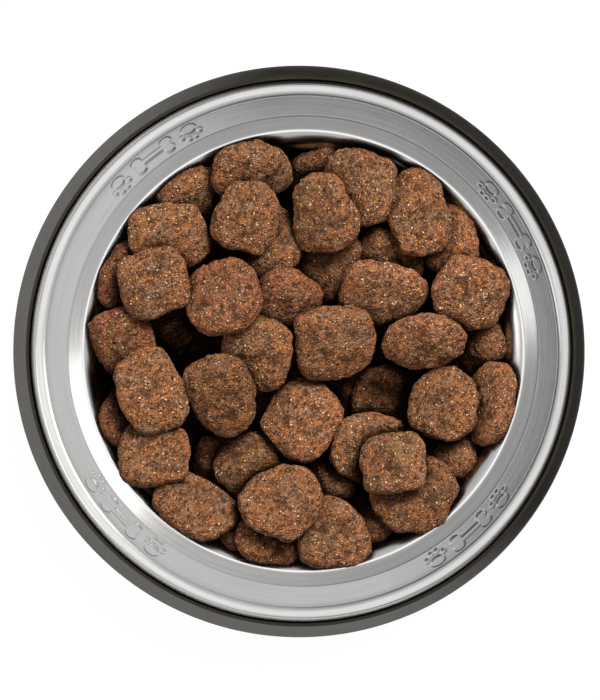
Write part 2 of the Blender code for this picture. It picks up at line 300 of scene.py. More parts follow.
@dataclass(frozen=True)
class BakedKibble:
    """Baked dry food: brown crumbs with cream, orange and black grains, and open pores whose shade
    is painted near-black.

    The mesh's "bake" attribute holds, as red, how much of an edge the place is, as green,
    how light the piece is baked times the painted shade of the heap's hollows, and as blue,
    how warm.
    """

    dark: tuple[float, float, float] = (0.055, 0.025, 0.013)
    brown: tuple[float, float, float] = (0.365, 0.142, 0.055)
    grey: tuple[float, float, float] = (0.290, 0.148, 0.078)
    red: tuple[float, float, float] = (0.350, 0.122, 0.056)
    orange: tuple[float, float, float] = (0.600, 0.255, 0.080)
    dust: tuple[float, float, float] = (0.150, 0.085, 0.070)
    cream: tuple[float, float, float] = (0.950, 0.700, 0.420)
    # near-black: the colour of the real black flecks, and painted shade in the pores
    char_and_pore_shade: tuple[float, float, float] = (0.018, 0.011, 0.009)
    level: float = 1.34
    crumb_mm: float = 0.50
    fleck_mm: float = 0.80
    wobble_scale: float = 1.9
    wobble_mm: float = 0.5
    mottle_scale: float = 0.62
    cloud_scale: float = 0.17
    scorch_scale: float = 0.30
    pore_scale: float = 1.25
    dust_share: float = 0.42
    scorch_share: float = 0.72
    # how far the pores are painted towards near-black: painted shade in the pits
    pore_shade_share: float = 0.75
    lit_crumb: Grain = Grain(1, (0.48, 0.95), (0.64, 0.20), 0.85)
    cream_fleck: Grain = Grain(0, (0.90, 0.94), (0.42, 0.22), 0.90)
    cream_crumb: Grain = Grain(2, (0.91, 0.95), (0.48, 0.20), 0.75)
    black_fleck: Grain = Grain(1, (0.95, 0.98), (0.45, 0.25), 0.60)
    relief_shares: tuple[float, ...] = (-0.9, 1.5, 0.5, -1.6, -0.35)
    roughness: float = 0.62
    roughness_rise: float = 0.3
    gloss: float = 0.05
    bump_distance: float = 0.0008

    def build(self) -> bpy.types.Material:
        """Makes the material.

        Voronoi cells stand for the crumbs: each has a random shade, some are orange or
        cream, and a few of a second, larger set are cream or black flecks. Noise of a
        millimetre or two mottles them, and broader noise scorches the faces and moves each
        piece between brown and grey.

        Returns:
            The material.
        """
        sheet = Sheet("baked_kibble")
        millimetres = {0: sheet.place(), 1: (1 / MM,) * 3}
        place = sheet.node("VectorMath", millimetres, operation="MULTIPLY")
        bake = sheet.node("Attribute", output="Color", attribute_name="bake")
        edge, light, warm = sheet.split("SeparateColor", bake)
        sockets = {"Vector": place, "Scale": self.wobble_scale}
        wobble = sheet.node("TexNoise", sockets, "Color")
        moved = {0: wobble, 1: (self.wobble_mm,) * 3, 2: place}
        jagged = sheet.node("VectorMath", moved, operation="MULTIPLY_ADD")

        def cells(size: float) -> tuple[Wire, list[Wire]]:
            sockets = {"Vector": jagged, "Scale": 1 / size}
            made = sheet.node("TexVoronoi", sockets, "Distance")
            return made, sheet.split("SeparateColor", made.beside("Color"))

        crumb, crumb_draw = cells(self.crumb_mm)
        fleck, fleck_draw = cells(self.fleck_mm)
        mottle = sheet.noise(place, self.mottle_scale, 4.0, 0.66)
        cloud = sheet.noise(place, self.cloud_scale, 3.0)
        scorch = sheet.noise(place, self.scorch_scale, 4.0, 0.6).step(0.50, 0.64)
        scorch = scorch * (1 - edge * 0.8)
        hole = sheet.noise(place, self.pore_scale, 3.0, 0.55).step(0.350, 0.290)

        ground = sheet.blend(cloud.step(0.38, 0.62), self.brown, self.grey)
        heat = (edge * 0.30 + warm * 0.90 + mottle * 0.9 - 0.92).step(0.0, 0.7)
        ground = sheet.blend(heat, ground, self.red)
        shade = (crumb_draw[0] * 0.52 + mottle * 1.90 - 0.50).step(0.30, 1.02)
        body = sheet.blend(shade, self.dark, ground)
        dusty = crumb_draw[1].step(0.42, 0.05) * self.dust_share
        body = sheet.blend(dusty, body, self.dust)
        lit = self.lit_crumb.mask(crumb, crumb_draw)
        body = sheet.blend(lit * self.lit_crumb.share, body, self.orange)
        cream = self.cream_fleck.mask(fleck, fleck_draw)
        body = sheet.blend(cream * self.cream_fleck.share, body, self.cream)
        small = self.cream_crumb.mask(crumb, crumb_draw)
        body = sheet.blend(small * self.cream_crumb.share, body, self.cream)
        body = sheet.blend(scorch * self.scorch_share, body, self.dark)
        # the black flecks are real; the pores are painted near-black, painted shade in pits that
        # are only a bump
        black = self.black_fleck.mask(fleck, fleck_draw)
        clear = (1 - black * self.black_fleck.share) * (1 - hole * self.pore_shade_share)
        body = sheet.blend(1 - clear, body, self.char_and_pore_shade)
        # light is the piece's bake lightness times the painted shade of the heap's hollows
        lightness = {0: body, "Scale": light * self.level}
        relief = weighed((crumb, mottle, cream, hole, fleck), self.relief_shares)
        return sheet.principled(
            {
                "Base Color": sheet.node("VectorMath", lightness, operation="SCALE"),
                "Roughness": mottle * self.roughness_rise + self.roughness,
                "Specular IOR Level": self.gloss,
                "Normal": sheet.bump(relief, 1.0, self.bump_distance),
            }
        )


# ---- surfaces ----


def rounded(corners: list[tuple[float, float, float]], arc_deg: float, pitch: float) -> np.ndarray:
    """A line through corners with an arc at each one, cut into short pieces.

    An arc of radius r that touches both straights starts r tan(half the turn) before its
    corner. Its points are its centre plus r times the turned unit vectors.

    Args:
        corners: The corners, each (x, y, arc radius).
        arc_deg: The turn between two points of an arc.
        pitch: The longest straight piece.

    Returns:
        The points, as rows of (x, y).
    """
    spots = np.array(corners, float)
    pieces = [spots[:1, :2]]
    for before, here, after in zip(spots, spots[1:], spots[2:]):
        into = (here[:2] - before[:2]) / np.linalg.norm(here[:2] - before[:2])
        out = (after[:2] - here[:2]) / np.linalg.norm(after[:2] - here[:2])
        turn = math.atan2(into[0] * out[1] - into[1] * out[0], into @ out)
        start = here[:2] - into * here[2] * math.tan(abs(turn) / 2)
        side = np.array([-into[1], into[0]]) * math.copysign(here[2], turn)
        steps = max(2, math.ceil(math.degrees(abs(turn)) / arc_deg))
        angles = np.linspace(0.0, turn, steps + 1) if here[2] else np.zeros(1)
        cos, sin = np.cos(angles), np.sin(angles)
        arc = np.stack([side[1] * sin - side[0] * cos, -side[0] * sin - side[1] * cos], axis=1)
        pieces.append(start + side + arc)
    pieces.append(spots[-1:, :2])
    line = np.concatenate(pieces)
    cut = [line[:1]]
    for first, last in zip(line, line[1:]):
        count = max(1, math.ceil(np.linalg.norm(last - first) / pitch))
        cut.append(first + (last - first) * (np.arange(1, count + 1) / count)[:, None])
    return np.concatenate(cut)


def left_normals(line: np.ndarray) -> np.ndarray:
    """Unit vectors a quarter turn to the left of a line's direction, at each of its points."""
    ahead = np.gradient(line, axis=0)
    ahead /= np.linalg.norm(ahead, axis=1, keepdims=True)
    return np.stack([-ahead[:, 1], ahead[:, 0]], axis=1)


def grid_faces(rows: int, columns: int, is_ring: bool) -> np.ndarray:
    """The quads of a grid whose columns run all the way round.

    Args:
        rows: How many rows of points there are.
        columns: How many points a row has.
        is_ring: Whether the last row meets the first.

    Returns:
        Rows of four point numbers.
    """
    row = np.arange(rows if is_ring else rows - 1)[:, None]
    column = np.arange(columns)[None, :]
    up, right = (row + 1) % rows, (column + 1) % columns
    corners = [row * columns + column, row * columns + right, up * columns + right]
    corners.append(up * columns + column)
    return np.stack(np.broadcast_arrays(*corners), axis=-1).reshape(-1, 4)


def linked(name: str, data: bpy.types.ID) -> bpy.types.Object:
    """A new object with this data, linked to the scene."""
    made = bpy.data.objects.new(name, data)
    bpy.context.scene.collection.objects.link(made)
    return made


def rows_of(items: bpy.types.bpy_prop_collection, key: str, width: int, kind: type) -> np.ndarray:
    """A property of each of a mesh's items, as rows of width numbers."""
    flat = np.empty(len(items) * width, kind)
    items.foreach_get(key, flat)
    return flat.reshape(-1, width)


def add_piece(
    name: str,
    points: np.ndarray,
    quads: np.ndarray,
    caps: np.ndarray | None = None,
    outwards: bool = True,
) -> bpy.types.Object:
    """Makes a smooth object from arrays of points in millimetres.

    Args:
        name: The object's name.
        points: Rows of (x, y, z).
        quads: Rows of four point numbers.
        caps: Rows of three point numbers, at the poles.
        outwards: Whether the faces already point out, or are to be turned round.

    Returns:
        The new object, linked to the scene.
    """
    faces = [quads if outwards else quads[:, ::-1]]
    if caps is not None:
        faces.append(caps if outwards else caps[:, ::-1])
    counts = np.concatenate([np.full(len(part), part.shape[1]) for part in faces])
    loops = np.concatenate([part.ravel() for part in faces]).astype(np.int32)
    mesh = bpy.data.meshes.new(name)
    mesh.vertices.add(len(points))
    mesh.vertices.foreach_set("co", (points * MM).astype(np.float32).ravel())
    mesh.loops.add(len(loops))
    mesh.loops.foreach_set("vertex_index", loops)
    mesh.polygons.add(len(counts))
    mesh.polygons.foreach_set("loop_start", (np.cumsum(counts) - counts).astype(np.int32))
    mesh.update(calc_edges=True)
    mesh.validate()
    mesh.shade_smooth()
    return linked(name, mesh)


def pole_caps(rows: int, columns: int) -> np.ndarray:
    """The triangles from a grid's first and last rows to the two poles, its last two points."""
    here = np.arange(columns)
    there = (here + 1) % columns
    last = (rows - 1) * columns
    pole = np.full(columns, rows * columns)
    ends = ([pole, there, here], [last + here, last + there, pole + 1])
    return np.concatenate([np.stack(end, axis=1) for end in ends])


def turned(radius: np.ndarray, height: np.ndarray, bearings: np.ndarray) -> np.ndarray:
    """The points (r cos a, r sin a, h) of a section turned about Z, row after row."""
    grids = np.broadcast_arrays(radius * np.cos(bearings), radius * np.sin(bearings), height)
    return np.stack(grids, axis=-1).reshape(-1, 3)


def lattice_noise(points: np.ndarray, cell: float, seed: int) -> np.ndarray:
    """Smooth noise from -1 to 1.

    Each corner of a cubic lattice has a value hashed from its whole-number place. A point
    takes its cell's eight values, each weighted by a product of steps 3t^2 - 2t^3.

    Args:
        points: Rows of (x, y, z).
        cell: The lattice's pitch.
        seed: Which noise of many this is.

    Returns:
        One value for each point.
    """
    scaled = points / cell + 1000.0
    base = np.floor(scaled)
    share = scaled - base
    share = share * share * (3.0 - 2.0 * share)
    base = base.astype(np.uint32)
    start = np.uint32(seed * int(PRIMES[3]) % 2**32)
    total = np.zeros(len(points))
    for corner in itertools.product((0, 1), repeat=3):
        spot = base + np.array(corner, np.uint32)
        mixed = spot[:, 0] * PRIMES[0] + spot[:, 1] * PRIMES[1] + spot[:, 2] * PRIMES[2] + start
        for shift, prime in ((15, PRIMES[2]), (13, PRIMES[3])):
            mixed = (mixed ^ (mixed >> np.uint32(shift))) * prime
        mixed ^= mixed >> np.uint32(16)
        value = mixed.astype(float) / (2**31) - 1.0
        total += value * np.prod(np.where(corner, share, 1.0 - share), axis=1)
    return total


def smooth_step(low: float, high: float, value: np.ndarray) -> np.ndarray:
    """Runs from 0 at low to 1 at high along 3t^2 - 2t^3."""
    share = np.clip((value - low) / (high - low), 0.0, 1.0)
    return share * share * (3.0 - 2.0 * share)


# ---- steel bowl ----


@dataclass(frozen=True)
class Emblem:
    """A bone between two paws, embossed on the shoulder. All sizes are in millimetres."""

    height: float = 0.34
    edge: float = 0.32
    bone_half: float = 5.0
    shaft_half: float = 1.15
    knob: float = 1.75
    knob_squash: float = 1.15
    paw_at: float = 12.2
    pad: float = 2.2
    pad_drop: float = 1.5
    toe: float = 0.85
    toe_squash: float = 1.35
    toes: tuple[tuple[float, float], ...] = ((-2.7, 1.0), (-1.0, 2.9), (1.0, 2.9), (2.7, 1.0))

    def lift(self, across: np.ndarray, up: np.ndarray) -> np.ndarray:
        """How far the emblem stands out.

        It is a union of circles and of a bar, given by the distance to its outline, which is
        negative inside. The height is a smooth step of it.

        Args:
            across: Distances along the shoulder from the emblem's middle.
            up: Distances up the shoulder from its middle line.

        Returns:
            The heights.
        """

        def disc(x: float, y: float, radius: float, squash: float = 1.0) -> np.ndarray:
            return np.hypot(across - x, (up - y) / squash) - radius

        shapes = [np.maximum(np.abs(across) - self.bone_half, np.abs(up) - self.shaft_half)]
        for side in (-1, 1):
            for y in (-self.knob, self.knob):
                shapes.append(disc(side * self.bone_half, y, self.knob, self.knob_squash))
            shapes.append(disc(side * self.paw_at, -self.pad_drop, self.pad))
            for x, y in self.toes:
                shapes.append(disc(side * self.paw_at + x, y, self.toe, self.toe_squash))
        return self.height * smooth_step(self.edge, -self.edge, np.minimum.reduce(shapes))


@dataclass
class PressedBowl:
    """The bowl: one sheet that makes the food well, the rim, the shoulder, the step and the skirt.

    All sizes are in millimetres. They are the solid's, but for the lip, which is a little
    rounder, and the ridge and the knee, which the photo shows and the solid's step leaves out.
    """

    rim_height: float = 42.0
    mouth_radius: float = 61.2
    sheet: float = 0.8
    floor_height: float = 4.5
    wall_flare_deg: float = 12.0
    floor_corner: float = 9.0
    lip_width: float = 4.0
    lip_slope_deg: float = 14.0
    lip_radius: float = 5.6
    rim_bend: float = 1.3
    band_width: float = 4.1
    band_slope_deg: float = 24.0
    crease: float = 1.1
    shoulder_width: float = 7.7
    shoulder_slope_deg: float = 52.0
    step_width: float = 3.1
    step_slope_deg: float = 8.0
    skirt_flare_deg: float = 3.0
    fillet: float = 2.2
    fillet_in: float = 1.2
    ridge: float = 0.8
    ridge_in: float = 1.2
    ridge_drop: float = 0.4
    knee: float = 3.0
    knee_height: float = 20.6
    edge_height: float = 4.6
    emblem: Emblem = Emblem()
    emblem_bearings_deg: tuple[float, ...] = (-47.0, -137.5, 127.5, 30.5)
    emblem_reach_deg: float = 15.5
    emblem_depth: float = 0.6
    fine_deg: float = 0.24
    coarse_deg: float = 1.25
    arc_deg: float = 9.0
    pitch: float = 0.42
    plain_in: float = 3.0
    thinning: int = 9

    def _corners(self) -> list[tuple[float, float, float]]:
        """The section's corners from the well's middle to the skirt's edge."""
        lip = self.mouth_radius - self.lip_width
        drop = self.lip_width * math.tan(math.radians(self.lip_slope_deg))
        depth = self.rim_height - drop - self.floor_height
        floor = lip - depth * math.tan(math.radians(self.wall_flare_deg))
        corners = [
            (0.0, self.floor_height, 0.0),
            (floor, self.floor_height, self.floor_corner),
            (lip, self.rim_height - drop, self.lip_radius),
            (self.mouth_radius, self.rim_height, self.rim_bend),
        ]
        crease, foot = self._shoulder_ends()
        foot_in = self._down(foot, -self.fillet_in, self.shoulder_slope_deg)
        step = self.step()
        ridge = (step[0] - self.ridge_in, foot_in[1] - self.ridge_drop)
        knee = self.skirt_radius(self.knee_height)
        edge = self.skirt_radius(self.edge_height)
        return corners + [
            (*crease, self.crease),
            (*foot_in, self.fillet),
            (*ridge, self.ridge),
            (knee, self.knee_height, self.knee),
            (edge, self.edge_height, 0.0),
        ]

    @staticmethod
    def _down(start: tuple[float, ...], run: float, slope_deg: float) -> tuple[float, float]:
        """The point that lies run outwards from start, down a slope."""
        return start[0] + run, start[1] - run * math.tan(math.radians(slope_deg))

    def _shoulder_ends(self) -> tuple[tuple[float, float], tuple[float, float]]:
        """The crease above the shoulder and the foot below it."""
        mouth = (self.mouth_radius, self.rim_height)
        crease = self._down(mouth, self.band_width, self.band_slope_deg)
        return crease, self._down(crease, self.shoulder_width, self.shoulder_slope_deg)

    def step(self) -> tuple[float, float]:
        """The solid's corner between its step and its skirt."""
        return self._down(self._shoulder_ends()[1], self.step_width, self.step_slope_deg)

    def skirt_radius(self, height: float) -> float:
        """The radius of the solid skirt's outer face at a height."""
        radius, top = self.step()
        return radius + (top - height) * math.tan(math.radians(self.skirt_flare_deg))

    def _bearings(self) -> np.ndarray:
        """Bearings in degrees round the bowl, close together where the emblems are."""
        marks = []
        centres = sorted(bearing % 360.0 for bearing in self.emblem_bearings_deg)
        for here, following in zip(centres, centres[1:] + [centres[0] + 360.0]):
            fine = np.arange(-self.emblem_reach_deg, self.emblem_reach_deg, self.fine_deg)
            start, end = here + self.emblem_reach_deg, following - self.emblem_reach_deg
            count = max(1, math.ceil((end - start) / self.coarse_deg))
            marks += [here + fine, start + (end - start) * np.arange(count) / count]
        return np.sort(np.concatenate(marks) % 360.0)

    def _upper_line(self) -> np.ndarray:
        """The section's points on the sheet's upper face, fewer where it is plain."""
        line = rounded(self._corners(), self.arc_deg, self.pitch)
        plain = line[:, 0] < self.mouth_radius - self.lip_width - self.plain_in
        plain |= line[:, 1] < self.knee_height
        keep = ~plain | (np.arange(len(line)) % self.thinning == 0)
        keep[[0, -1]] = True
        return line[keep]

    def _lift(self, line: np.ndarray, bearings: np.ndarray) -> np.ndarray:
        """How far the emblems raise each point of the line, at each bearing in radians."""
        top, foot = (np.array(corner[:2]) for corner in self._corners()[4:6])
        middle, upward = (top + foot) / 2, (top - foot) / np.linalg.norm(top - foot)
        offset = line - middle
        outward = left_normals(np.stack([middle + upward, middle, middle - upward]))[0]
        near = np.abs(offset @ outward) < self.emblem_depth
        lift = np.zeros((len(line), len(bearings)))
        for centre in self.emblem_bearings_deg:
            turn = (bearings - math.radians(centre) + math.pi) % math.tau - math.pi
            is_here = np.abs(turn) < math.radians(self.emblem_reach_deg)
            across = np.where(is_here, -turn * middle[0], math.inf)
            lift += self.emblem.lift(across[None, :], (offset @ upward)[:, None]) * near[:, None]
        return lift

    def build(self, finish: bpy.types.Material) -> bpy.types.Object:
        """Builds the closed shell and dresses it.

        The upper face is the section turned about Z: x = r cos a, y = r sin a, z = h. The
        emblems move its points along the section's normal. The under face is the section
        moved inwards by the sheet's thickness.

        Args:
            finish: The steel.

        Returns:
            The bowl's object.
        """
        over = self._upper_line()
        normals = left_normals(over)
        under = (over - normals * self.sheet)[::-1]
        under = np.concatenate([under[:1], under[1:-1:2], under[-1:]])
        under[-1, 0] = 0.0
        bearings = np.radians(self._bearings())
        lift = self._lift(over, bearings)
        radius, height = (
            np.concatenate(
                [
                    over[:, [axis]] + normals[:, [axis]] * lift,
                    np.repeat(under[:, [axis]], len(bearings), axis=1),
                ]
            )[1:-1]
            for axis in (0, 1)
        )
        poles = [[0.0, 0.0, over[0, 1]], [0.0, 0.0, under[-1, 1]]]
        points = np.concatenate([turned(radius, height, bearings), poles])
        quads, caps = grid_faces(*radius.shape, False), pole_caps(*radius.shape)
        bowl = add_piece("bowl_shell", points, quads, caps, outwards=False)
        bowl.data.materials.append(finish)
        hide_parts("steel_bowl")
        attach(bowl, "root")
        return bowl


# ---- rubber ring ----


@dataclass
class FootRing:
    """The rubber ring: an outer wall and a low lip, with the skirt's edge in the groove between.

    All sizes are in millimetres.
    """

    skirt: PressedBowl
    gap: float = 0.3
    height: float = 21.0
    face_deg: float = 77.0
    top_thickness: float = 1.0
    lip_height: float = 9.5
    lip_thickness: float = 2.2
    edge: float = 0.8
    edge_by_skirt: float = 0.25
    arc_deg: float = 12.0
    pitch: float = 1.2
    columns: int = 360

    def build(self, finish: bpy.types.Material) -> bpy.types.Object:
        """Builds the ring by turning its closed section about Z, and dresses it.

        Args:
            finish: The rubber.

        Returns:
            The ring's object.
        """
        flare = math.cos(math.radians(self.skirt.skirt_flare_deg))
        inner = self.skirt.sheet / flare + self.gap
        floor = self.skirt.edge_height - self.gap
        top = self.skirt.skirt_radius(self.height) + self.gap
        shoulder = top + self.top_thickness
        foot = shoulder + self.height / math.tan(math.radians(self.face_deg))
        lip_out = self.skirt.skirt_radius(self.lip_height) - inner
        lip_in = lip_out - self.lip_thickness
        corners = [
            (self.skirt.skirt_radius(floor) + self.gap, floor, 0.0),
            (top, self.height, self.edge_by_skirt),
            (shoulder, self.height, self.edge / 2),
            (foot, 0.0, self.edge),
            (lip_in, 0.0, self.edge),
            (lip_in, self.lip_height, self.edge),
            (lip_out, self.lip_height, self.edge_by_skirt),
            (self.skirt.skirt_radius(floor) - inner, floor, 0.0),
        ]
        loop = rounded(corners, self.arc_deg, self.pitch)
        bearings = np.linspace(0.0, math.tau, self.columns, endpoint=False)
        points = turned(loop[:, :1], loop[:, 1:], bearings)
        quads = grid_faces(len(loop), self.columns, True)
        ring = add_piece("foot_ring", points, quads, outwards=False)
        ring.data.materials.append(finish)
        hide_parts("rubber_ring")
        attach(ring, "root")
        return ring


# ---- kibble ----


class Bake(Enum):
    """How a kibble came out of the oven, as (lightness, warmth)."""

    USUAL = (1.00, 0.42)
    RED = (1.00, 0.86)
    ORANGE = (1.14, 0.62)
    GREY = (1.04, 0.12)
    DARK = (0.82, 0.34)


@dataclass
class KibbleHeap:
    """The kibble: each solid becomes a crumbly piece of the same form and place."""

    bakes: dict[Bake, tuple[int, ...]] = field(
        default_factory=lambda: {
            Bake.RED: (2, 8, 11, 12, 13, 16, 27, 33, 43),
            Bake.ORANGE: (22, 23, 38, 39, 40, 48),
            Bake.GREY: (19, 28, 30, 34, 47, 51),
            Bake.DARK: (1, 3, 4, 5, 6, 7, 9, 15, 17, 18, 31, 45),
        }
    )
    sharpness: float = 15.0
    rows: int = 86
    columns: int = 120
    lumps: tuple[tuple[float, float], ...] = ((9.0, 0.95), (4.2, 0.66), (1.9, 0.32), (0.9, 0.18))
    pit_range: tuple[float, float] = (0.5, 0.85)
    pit_cell: float = 2.1
    pit_depth: float = 0.35
    reach_share: float = 0.6
    edge_range: tuple[float, float] = (0.45, 0.92)
    bed_voxel: float = 0.9
    bed_lumps: tuple[tuple[float, float], ...] = ((3.0, 0.30), (1.4, 0.14))
    bed_seed: int = 900
    bed_sink: float = 0.2
    bed_edge: float = 0.3
    # painted shade of the heap's hollows: it starts at hollow_from and is full at hollow_to
    # millimetres below the smoothed top
    hollow_from: float = -1.2
    hollow_to: float = 6.2
    painted_hollow_shade: float = 0.94

    @staticmethod
    def _triangles(node: bpy.types.Object) -> np.ndarray:
        """A node's triangles, as (count, 3, 3) in millimetres."""
        mesh = node.data
        mesh.calc_loop_triangles()
        corners = rows_of(mesh.loop_triangles, "vertices", 3, np.int32)
        return rows_of(mesh.vertices, "co", 3, float)[corners] / MM

    def _bake_of(self, number: int) -> Bake:
        """How a piece is baked, by its number."""
        return next((bake for bake, those in self.bakes.items() if number in those), Bake.USUAL)

    def _surface(self, solid: np.ndarray, seed: int) -> tuple[np.ndarray, np.ndarray]:
        """The skin of one piece.

        In direction u the solid's faces, with normals n at distances d, lie at d / (n.u).
        The skin's radius is the p-norm of those, (sum (n.u / d)^p)^(-1/p), which rounds
        every edge, and is then scaled to the solid's reach. Lattice noise is added to it.

        Args:
            solid: The solid's triangles.
            seed: The piece's number.

        Returns:
            The points, rows first, then the two poles, and how much of an edge each is.
        """
        corners = solid.reshape(-1, 3)
        centre = corners.mean(axis=0)
        normals = np.cross(solid[:, 1] - solid[:, 0], solid[:, 2] - solid[:, 0])
        normals /= np.linalg.norm(normals, axis=1, keepdims=True)
        depth = np.einsum("ij,ij->i", normals, solid[:, 0] - centre)
        axes = np.linalg.svd(corners - centre, full_matrices=False)[2]
        polar = np.linspace(0.0, math.pi, self.rows + 2)[1:-1, None]
        round_ = np.linspace(0.0, math.tau, self.columns, endpoint=False)
        local = np.roll(turned(np.sin(polar), np.cos(polar), round_), 1, axis=1)
        local = np.concatenate([local, [[1.0, 0.0, 0.0], [-1.0, 0.0, 0.0]]])
        ways = local @ axes

        def reach(units: np.ndarray) -> np.ndarray:
            facing = np.maximum(units @ normals.T / depth, 0.0)
            return (facing**self.sharpness).sum(axis=1) ** (-1.0 / self.sharpness)

        far = np.linalg.norm(corners - centre, axis=1)
        ratios = far / reach((corners - centre) / far[:, None])
        scale = np.quantile(ratios, self.reach_share)
        radius = reach(ways) * scale
        points = centre + ways * radius[:, None]
        bump = self._lumpy(points, self.lumps, seed * 7)
        pit = smooth_step(*self.pit_range, lattice_noise(points, self.pit_cell, seed * 7 + 5))
        points = points + ways * (bump - self.pit_depth * pit)[:, None]
        level = np.abs((points - centre) @ axes[2])
        edge = 1.0 - smooth_step(*self.edge_range, level / np.quantile(level, 0.98))
        return points, edge

    @staticmethod
    def _lumpy(points: np.ndarray, lumps: tuple[tuple[float, float], ...], seed: int) -> np.ndarray:
        """The sum of lattice noises, each given by its cell and its height."""
        return sum(
            height * lattice_noise(points, cell, seed + number)
            for number, (cell, height) in enumerate(lumps)
        )

    def _paint(self, piece: bpy.types.Object, edge: np.ndarray, bake: Bake) -> None:
        """Writes the bake attribute that the material reads.

        Args:
            piece: The kibble.
            edge: How much of an edge each of its points is.
            bake: How it is baked.
        """
        light, warm = bake.value
        shades = np.stack(
            [edge, np.full(len(edge), light), np.full(len(edge), warm), np.ones(len(edge))], axis=1
        )
        layer = piece.data.attributes.new("bake", "FLOAT_COLOR", "POINT")
        layer.data.foreach_set("color", shades.astype(np.float32).ravel())

    def _paint_hollow_shade(self, pieces: list[bpy.types.Object]) -> None:
        """Paints shade into the colour: darkens every point by how far it lies below the heap's
        smoothed top.

        Args:
            pieces: All the kibble, which holds the bake attribute already.
        """
        clouds = [rows_of(piece.data.vertices, "co", 3, float) / MM for piece in pieces]
        every = np.concatenate(clouds)
        low = every.min(axis=0)
        cells = np.ceil(every.max(axis=0) - low).astype(int)[:2] + 1
        top = np.full(cells, -1.0)
        spot = np.floor(every - low).astype(int)
        np.maximum.at(top, (spot[:, 0], spot[:, 1]), every[:, 2])
        filled = (top > 0).astype(float)
        top *= filled
        for axis in (0, 1):
            top, filled = (self._smear(grid, axis) for grid in (top, filled))
        top /= np.maximum(filled, 1e-6)
        for piece, cloud in zip(pieces, clouds):
            spot = np.floor(cloud - low).astype(int)
            depth = top[spot[:, 0], spot[:, 1]] - cloud[:, 2]
            painted_shade = smooth_step(self.hollow_from, self.hollow_to, depth)
            layer = piece.data.attributes["bake"].data
            shades = rows_of(layer, "color", 4, np.float32)
            # painted shade: the deeper a point lies in the heap, the darker its colour
            shades[:, 1] *= 1.0 - self.painted_hollow_shade * painted_shade
            layer.foreach_set("color", shades.ravel())

    @staticmethod
    def _smear(grid: np.ndarray, axis: int) -> np.ndarray:
        """Blurs a grid of 1 mm cells along one axis, over about 9 mm."""
        weights = np.hanning(11)[1:-1]
        return np.apply_along_axis(np.convolve, axis, grid, weights / weights.sum(), mode="same")

    def build_piece(
        self, name: str, node: bpy.types.Object, finish: bpy.types.Material
    ) -> bpy.types.Object:
        """Builds one kibble over its solid.

        Args:
            name: The solid's name, which ends in its number.
            node: The solid.
            finish: The kibble's material.

        Returns:
            The kibble.
        """
        number = int(name.rsplit("_", 1)[1])
        points, edge = self._surface(self._triangles(node), number)
        grid = (self.rows, self.columns)
        crumb = name.replace("kibble", "crumb")
        piece = add_piece(crumb, points, grid_faces(*grid, False), pole_caps(*grid))
        self._turn_out(piece)
        self._paint(piece, edge, self._bake_of(number))
        piece.data.materials.append(finish)
        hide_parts(name)
        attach(piece, "root")
        return piece

    @staticmethod
    def _turn_out(piece: bpy.types.Object) -> None:
        """Turns the faces outwards, because the axes found for a piece may be left-handed."""
        form = bmesh.new()
        form.from_mesh(piece.data)
        bmesh.ops.recalc_face_normals(form, faces=form.faces)
        form.to_mesh(piece.data)
        form.free()

    def build_bed(self, node: bpy.types.Object, finish: bpy.types.Material) -> bpy.types.Object:
        """Builds the hidden lowest layer from a merged, evenly remeshed copy of its solid.

        Args:
            node: The bed's solid.
            finish: The kibble's material.

        Returns:
            The bed.
        """
        form = bmesh.new()
        form.from_mesh(node.data)
        bmesh.ops.remove_doubles(form, verts=form.verts, dist=1e-6)
        rough = bpy.data.meshes.new("bed_rough")
        form.to_mesh(rough)
        form.free()
        bed = linked("crumb_bed", rough)
        even = bed.modifiers.new("even", "REMESH")
        even.mode = "VOXEL"
        even.voxel_size = self.bed_voxel * MM
        seen = bed.evaluated_get(bpy.context.evaluated_depsgraph_get())
        bed.data = bpy.data.meshes.new_from_object(seen)
        bed.modifiers.clear()
        mesh = bed.data
        count = len(mesh.vertices)
        points = rows_of(mesh.vertices, "co", 3, float) / MM
        normals = rows_of(mesh.vertex_normals, "vector", 3, float)
        lift = self._lumpy(points, self.bed_lumps, self.bed_seed) - self.bed_sink
        points = points + normals * lift[:, None]
        mesh.vertices.foreach_set("co", (points * MM).ravel())
        mesh.update()
        mesh.shade_smooth()
        self._paint(bed, np.full(count, self.bed_edge), Bake.DARK)
        mesh.materials.clear()
        mesh.materials.append(finish)
        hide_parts("kibble_bed")
        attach(bed, "root")
        return bed

    def build(
        self, nodes: dict[str, bpy.types.Object], finish: bpy.types.Material
    ) -> list[bpy.types.Object]:
        """Builds the whole heap.

        Args:
            nodes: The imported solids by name.
            finish: The kibble's material.

        Returns:
            The pieces.
        """
        made = [self.build_bed(nodes["kibble_bed"], finish)]
        for name in sorted(nodes):
            if name.startswith("kibble_") and name != "kibble_bed":
                made.append(self.build_piece(name, nodes[name], finish))
        self._paint_hollow_shade(made)
        return made


# ---- studio ----


@dataclass(frozen=True)
class Softbox:
    """A rectangular lamp that looks at the bowl."""

    name: str
    bearing_deg: float
    height_deg: float
    distance: float
    size: float
    watts: float
    tint: tuple[float, float, float] = (1.0, 1.0, 1.0)
    is_mirrored: bool = True

    def build(self) -> bpy.types.Object:
        """Makes the lamp at its bearing and height round the bowl."""
        lamp = bpy.data.lights.new(self.name, "AREA")
        lamp.size = self.size
        lamp.energy = self.watts
        lamp.color = self.tint
        bearing, height = math.radians(self.bearing_deg), math.radians(self.height_deg)
        way = Vector((math.cos(bearing), math.sin(bearing), math.tan(height))).normalized()
        made = linked(self.name, lamp)
        made.visible_glossy = self.is_mirrored
        made.location = way * self.distance
        made.rotation_euler = (-way).to_track_quat("-Z", "Y").to_euler()
        return made


